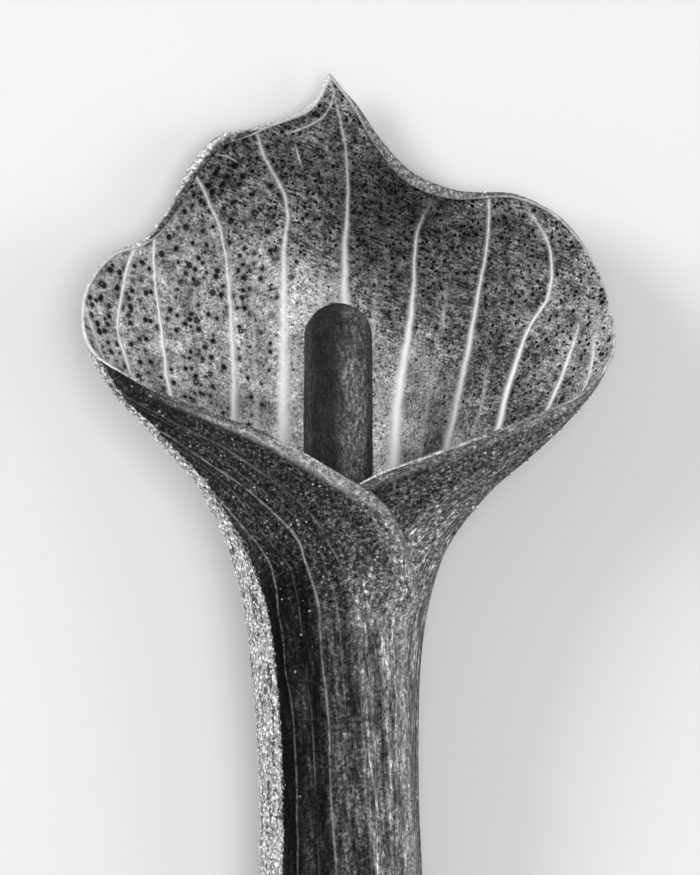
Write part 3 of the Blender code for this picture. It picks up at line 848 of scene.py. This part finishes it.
# The flat grid takes the rolled form, and its wall thins towards the margins.
bpy.ops.mesh.primitive_grid_add(x_subdivisions=columns - 1, y_subdivisions=rows - 1, size=2)
spathe = bpy.context.object
spathe.name = spathe.data.name = "spathe_leaf"
flat = np.array([tuple(v.co) for v in spathe.data.vertices])
column = np.rint((flat[:, 0] + 1) / 2 * (columns - 1)).astype(int)
row = np.rint((flat[:, 1] + 1) / 2 * (rows - 1)).astype(int)
spathe.data.vertices.foreach_set("co", sheet[row, column].astype(np.float32).ravel())
for name, values in sheet_data.items():
    kept = spathe.data.attributes.new(name, "FLOAT", "POINT")
    kept.data.foreach_set("value", values[row, column].astype(np.float32))
thick = THIN_EDGE + (1 - THIN_EDGE) * ease(to_edge / 3.0)
taper = spathe.vertex_groups.new(name="taper")
for index, weight in enumerate(thick[row, column]):
    taper.add([index], float(weight), "REPLACE")
spathe.data.materials.append(inside.material)
spathe.data.materials.append(outside.material)
wall = spathe.modifiers.new("wall", "SOLIDIFY")
wall.thickness = WALL
wall.offset = 0.0
wall.vertex_group = "taper"
wall.material_offset = 1
apply_all(spathe)
bpy.ops.object.shade_smooth()
lay_down(spathe)
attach(spathe, "root")
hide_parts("spathe")

# ---------------------------------------------------------------------------------------------
# The warts of the spathe: pale glassy beads of its own skin, half sunk in it. They crowd along its
# left flank and on the turned-over edge, and lie scattered over the front and at its right side.
WART_RADII = (0.08, 0.20)
WART_SUNK = 0.25  # share of its radius
WART_STRETCH = (0.8, 1.25)
draw = np.random.default_rng(11)
cell_area = np.linalg.norm(np.cross(up_step, round_step), axis=-1)
in_lit_flank = lit_flank * (height_of > -20) * (facing > -125)
flap_front = (facing > -62) & (facing < 8) & (height_of > 30) & (to_edge > 1.2) & (sheet_vein < -3)
down_tube = (facing > -52) & (facing < -15) & (height_of > -10) & (height_of < 34)
outermost = (height_of > 66) & (to_edge < 3.0) & (np.abs(outward[..., 2]) < 0.45)
top_left = outermost & on_left & (across_of > -23)
top_right = outermost & (sheet_vein > 0) & (height_of < 84)
right_edge = (facing > 75) & (facing < 115) & (height_of > 38) & (height_of < 55)
density = (  # warts to a square millimetre
    1.5 * in_lit_flank * (1 + 0.3 * (height_of > 34)) + 0.30 * flap_front + 0.06 * down_tube
    + 1.6 * top_left * (height_of < 86) + 0.25 * top_right + 0.8 * right_edge
)
chances = (density * cell_area).ravel()
count = int(chances.sum())
picked = draw.choice(chances.size, count, p=chances / chances.sum())
picked = np.unravel_index(picked, density.shape)
sizes = draw.uniform(*WART_RADII, count)
sizes *= (1 + 0.4 * top_left + 0.8 * (top_right | right_edge))[picked]
sizes *= (1 + 0.45 * in_lit_flank * ((height_of > 33) & (height_of < 60)))[picked]
shift = draw.uniform(-0.5, 0.5, (2, count, 1))
seats = (
    sheet[picked] + up_step[picked] * shift[0] + round_step[picked] * shift[1]
    + outward[picked] * (WALL * thick[picked] / 2 - WART_SUNK * sizes)[:, None]
)
# None grows where the flower rests on the table, or past its highest point.
level, room = seats @ laid[:3] + laid[3], 1.3 * MM * sizes
clear = (level - room > cad_box[0][2]) & (level + room < cad_box[1][2])
seats, sizes, count = seats[clear], sizes[clear], int(clear.sum())
# Beads on the left flank are painted pale with the light painted there; those along the top and
# right edges are pale too, and the rest darker.
pale = np.clip(in_lit_flank + (top_left | top_right | right_edge), 0.35, 1)[picked][clear]
bpy.ops.mesh.primitive_uv_sphere_add(segments=8, ring_count=5, radius=1.0)
warts = bpy.context.object
warts.name = warts.data.name = "spathe_warts"
bead = np.array([tuple(v.co) for v in warts.data.vertices])
bead_faces = [tuple(p.vertices) for p in warts.data.polygons]
stretch = draw.uniform(*WART_STRETCH, (count, 1, 3))
points = seats[:, None] + bead * sizes[:, None, None] * stretch
warts.data.clear_geometry()
warts.data.from_pydata(
    points.reshape(-1, 3).tolist(),
    [],
    [[corner + n * len(bead) for corner in face] for n in range(count) for face in bead_faces],
)
kept = warts.data.attributes.new("pale", "FLOAT", "POINT")
kept.data.foreach_set("value", np.repeat(pale, len(bead)).astype(np.float32))
bpy.ops.object.shade_smooth()
lay_down(warts)
beads = Finish("wart_skin", 0.22)
speckle = beads.mottle(beads.place, 2.5)
beads.paint(0.05 + beads.attribute("pale") * (0.15 + speckle.fade(0.35, 0.65) * 0.7))
warts.data.materials.append(beads.material)
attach(warts, "root")

# ---------------------------------------------------------------------------------------------
# The ovaries: small green berries to be, each a plump flask of tissue with a tufted stigma at its
# mouth. They sit in staggered whorls round the foot of the spadix, out of sight in the tube.
OVARY_WHORLS = 5
OVARIES_IN_WHORL = 9
LOWEST_WHORL = -17.5
WHORL_PITCH = 2.5
OVARY_SEAT = 2.6  # from the spadix's axis to the foot of each
OVARY_RINGS = [
    (0.55, 0.02), (0.85, 0.25), (1.05, 0.7), (1.09, 1.15), (0.98, 1.6), (0.74, 1.95),
    (0.50, 2.15), (0.44, 2.24), (0.52, 2.34), (0.50, 2.42), (0.34, 2.47),
]
ovary = turned_up("ovary", OVARY_RINGS, 14)
draw_in(0.14)
face_outwards()
soften(ovary, 1)
apply_all(ovary)
bpy.ops.object.shade_smooth()
green = Finish("ovary_flesh", 0.38)
vein_net = green.cells(green.place, 1.6, "DISTANCE_TO_EDGE")
patches = green.mottle(green.place, 1.1)
green.paint((0.20 + patches * 0.22) * (0.75 + vein_net.fade(0.0, 0.12) * 0.3))
green.emboss(green.mottle(green.place, 4.0), 0.08)
ovary.data.materials.append(green.material)
for index in range(OVARY_WHORLS * OVARIES_IN_WHORL):
    whorl, number = divmod(index, OVARIES_IN_WHORL)
    turn = 2 * math.pi * (number + 0.5 * (whorl % 2)) / OVARIES_IN_WHORL
    name = f"ovary_{index + 1:02d}"
    copy = bpy.data.objects.new(name + "_flask", ovary.data.copy())
    bpy.context.scene.collection.objects.link(copy)
    copy.matrix_world = (
        Matrix.Translation((CLUB_ASIDE, LOWEST_WHORL + whorl * WHORL_PITCH, 0.0))
        @ Matrix.Rotation(turn, 4, "Y")
        @ Matrix.Translation((0.0, 0.0, OVARY_SEAT))
        @ Matrix.Rotation(math.pi / 2, 4, "X")
    )
    lay_down(copy)
    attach(copy, "root")
    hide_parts(name)
bpy.data.objects.remove(ovary)

# ---------------------------------------------------------------------------------------------
# The peduncle: the flower's own stalk, a juicy rod of soft tissue with fine ribs down its length.
# It widens a little into the foot of the spathe and is cut off square at its other end.
STALK_TOP = -22.0
STALK_LENGTH = 40.0
STALK_RADIUS = 3.2
STALK_BEND = 1.6  # its cut end stands this far to the flower's right
STALK_RIBS = 16
RIB_DEPTH = 0.016  # share of its radius
NARROWING = 0.94  # its radius at the cut, as a share of that at its top
RIND = 0.25
CUT_RINGS = [(0.8, 0.13), (1.9, 0.11), (2.62, 0.07), (2.82, 0.0)]  # the cut face's, and how sunk
STALK_RINGS = [(radius, STALK_TOP - STALK_LENGTH + sunk) for radius, sunk in CUT_RINGS] + [
    (
        STALK_RADIUS * (NARROWING + (1 - NARROWING) * share),
        STALK_TOP - STALK_LENGTH * (1 - share),
    )
    for share in np.linspace(0, 1, 41)
]
stalk = turned_up("stalk", STALK_RINGS, 96)
face_outwards()
bpy.ops.object.transform_apply()
for vertex in stalk.data.vertices:
    down = (STALK_TOP - vertex.co.y) / STALK_LENGTH
    around = math.atan2(vertex.co.x, vertex.co.z)
    rib = 1 - RIB_DEPTH / 2 * (1 + math.cos(STALK_RIBS * around))
    vertex.co.x, vertex.co.z = vertex.co.x * rib + STALK_BEND * down**2, vertex.co.z * rib
bpy.ops.object.shade_smooth_by_angle(angle=math.radians(50))
core = stalk.data.attributes.new("core", "FLOAT", "POINT")
for index, vertex in enumerate(stalk.data.vertices):
    from_axis = math.hypot(vertex.co.x - STALK_BEND, vertex.co.z)
    core.data[index].value = float(from_axis < STALK_RADIUS * NARROWING - RIND)
for face in stalk.data.polygons:
    face.material_index = int(face.normal.y < -0.7)
lay_down(stalk)
rind = Finish("stalk_skin", 0.42)
stripes = rind.mottle(rind.stretched((1.0, 0.06, 1.0), -tilt), 1.6, 3.0, 0.6)
grit = rind.mottle(rind.place, 3.0, 3.0, 0.6)
flecks = rind.cells(rind.stretched((1.0, 0.5, 1.0), -tilt), 1.3)
rind.paint(0.17 * (0.4 + stripes * 1.2) * (0.5 + grit) + flecks.fade(0.22, 0.1) * 0.10)
rind.emboss(stripes * 0.8 + grit * 0.3, 0.14)
stalk.data.materials.append(rind.material)
# Its cut face is pale and wet, dotted with the ends of its bundles inside a darker rind.
pith = Finish("stalk_pith", 0.35)
bundles = pith.cells(pith.place, 1.5)
pulp = pith.mottle(pith.place, 3.0, 3.0, 0.6)
wet = pith.attribute("core").fade(0.0, 1.0)
tone = (0.42 + pulp * 0.3).towards(0.16, bundles.fade(0.24, 0.14))
pith.paint((0.12 + pulp * 0.1).towards(tone, wet))
pith.emboss(pulp * 0.5 - bundles.fade(0.3, 0.1) * 0.5, 0.1)
stalk.data.materials.append(pith.material)
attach(stalk, "root")
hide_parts("peduncle")

# ---------------------------------------------------------------------------------------------
# The pale table that the flower lies on, the soft lights, and the camera, which looks straight at
# the flower's open front from half a metre away.
AIM = (1.13, 49.4)  # the middle of the view, across the flower and up its axis
CAMERA_AWAY = 500.0
FLOWER_MIDDLE = Vector((0.0, 0.02, 0.01))  # in metres, for the lights
bpy.ops.mesh.primitive_plane_add(size=4.0, location=(0.0, 0.0, 0.0))
table_top = bpy.context.object
table_top.name = "table_top"
matt = Finish("pale_card", 0.9)
matt.paint(0.74)
table_top.data.materials.append(matt.material)


def softbox(name, place, size, power):
    """A square light that faces the flower."""
    lamp = bpy.data.lights.new(name, "AREA")
    lamp.size, lamp.energy = size, power
    holder = bpy.data.objects.new(name, lamp)
    bpy.context.scene.collection.objects.link(holder)
    holder.location = place
    towards_flower = FLOWER_MIDDLE - Vector(place)
    holder.rotation_euler = towards_flower.to_track_quat("-Z", "Y").to_euler()


softbox("left_softbox", (-0.50, 0.25, 0.45), 0.30, 2.7)
softbox("front_softbox", (0.10, -0.05, 0.75), 0.30, 2.6)
softbox("right_softbox", (0.55, -0.10, 0.40), 0.40, 1.4)
world = bpy.data.worlds.new("studio")
bpy.context.scene.world = world
world.use_nodes = True
world.node_tree.nodes["Background"].inputs["Color"].default_value = (0.8, 0.8, 0.8, 1.0)
world.node_tree.nodes["Background"].inputs["Strength"].default_value = 0.40

lens = bpy.data.cameras.new("camera")
lens.lens, lens.sensor_width = 182.0, 36.0
lens.clip_start, lens.clip_end = 0.01, 20.0
camera = bpy.data.objects.new("camera", lens)
bpy.context.scene.collection.objects.link(camera)
camera.location = lying @ Vector((*AIM, CAMERA_AWAY))
camera.rotation_euler = (tilt, 0.0, 0.0)
bpy.context.scene.camera = camera
bpy.context.scene.view_settings.view_transform = "Standard"
